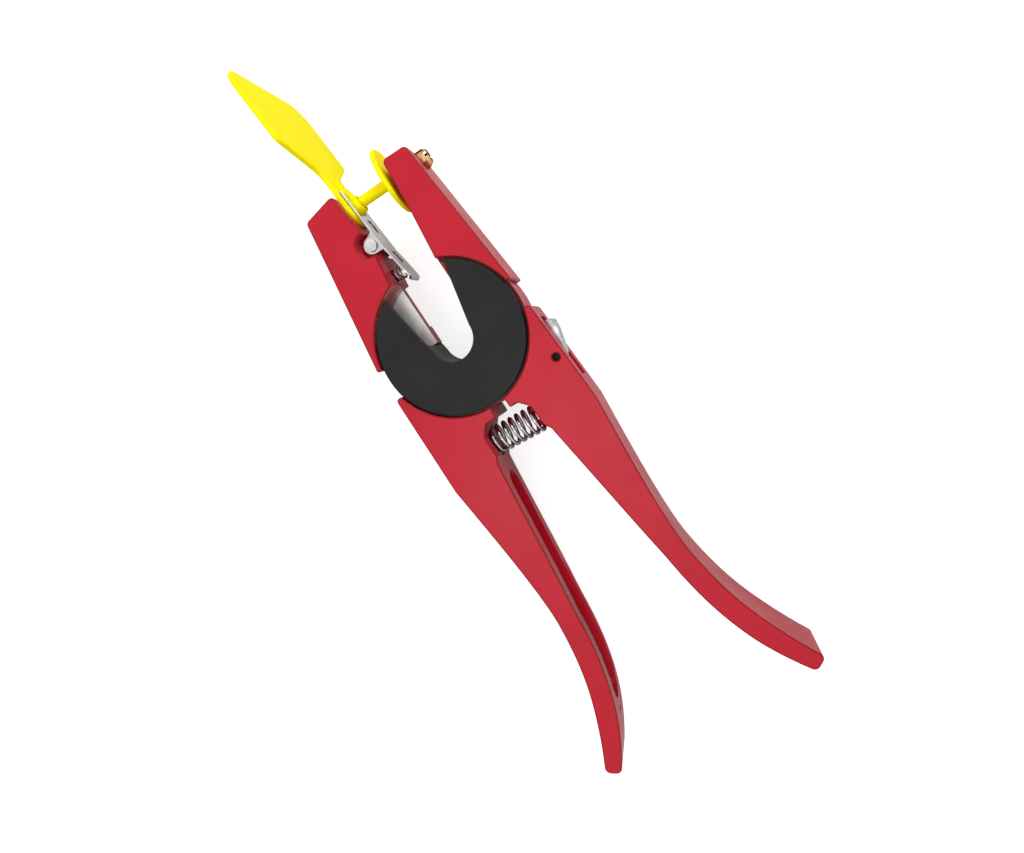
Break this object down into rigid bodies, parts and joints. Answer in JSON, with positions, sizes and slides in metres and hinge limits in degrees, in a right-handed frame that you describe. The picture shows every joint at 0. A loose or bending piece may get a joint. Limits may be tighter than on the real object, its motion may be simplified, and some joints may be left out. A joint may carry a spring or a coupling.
{
  "type": "ear tag pliers",
  "caption": "Hand pliers that press a two-piece livestock ear tag together: pin jaw, sprung clip jaw, round pivot with a throat, return spring and thumb latch.",
  "frame": {"origin": "on the pivot axis of the two levers, in the plane of their rear faces", "axes": "+Y towards the jaw tips, +X towards the pin jaw, +Z out of the front face along the pivot axis"},
  "size_m": [0.0974, 0.3095, 0.06],
  "materials": {
    "red_paint": "satin powder coat",
    "black_plastic": "fine moulded grain",
    "bright_steel": "bright plated sheet",
    "plain_steel": "drawn wire and turned steel",
    "brass": "yellow passivated",
    "tag_yellow": "soft moulded"
  },
  "bodies": {
    "clip_side": {"clip_lever": "red_paint", "front_cover": "black_plastic", "rear_cover": "black_plastic", "pivot_core": "black_plastic", "lap_washer": "bright_steel", "cover_screw_1": "plain_steel", "cover_screw_2": "plain_steel", "cover_screw_3": "plain_steel", "cover_screw_4": "plain_steel", "return_spring": "plain_steel", "clip_pin": "plain_steel", "clip_spring": "plain_steel", "latch_pin": "plain_steel", "tag_flag": "tag_yellow"},
    "pin_side": {"pin_lever": "red_paint", "applicator_pin": "plain_steel", "pin_nut": "brass", "tag_stud": "tag_yellow"},
    "clip": {"tag_clip": "bright_steel"},
    "latch": {"thumb_latch": "bright_steel"}
  },
  "joints": [
    {"name": "lever_pivot", "type": "hinge", "parent": "clip_side", "child": "pin_side", "pos_m": [0, 0, 0.012], "axis": [0, 0, 1], "range_deg": [-18, 8], "stiffness_Nm_per_rad": 5, "springref_deg": -22.92, "deforming": ["return_spring"]},
    {"name": "clip_hinge", "type": "hinge", "parent": "clip_side", "child": "clip", "pos_m": [-0.00665, 0.04834, 0.012], "axis": [0, 0, -1], "range_deg": [0, 11], "stiffness_Nm_per_rad": 0.05, "springref_deg": -8.59, "deforming": ["clip_spring"]},
    {"name": "latch_pivot", "type": "hinge", "parent": "clip_side", "child": "latch", "pos_m": [0.03023, -0.02907, 0.012], "axis": [0, 0, 1], "range_deg": [0, 14]}
  ]
}
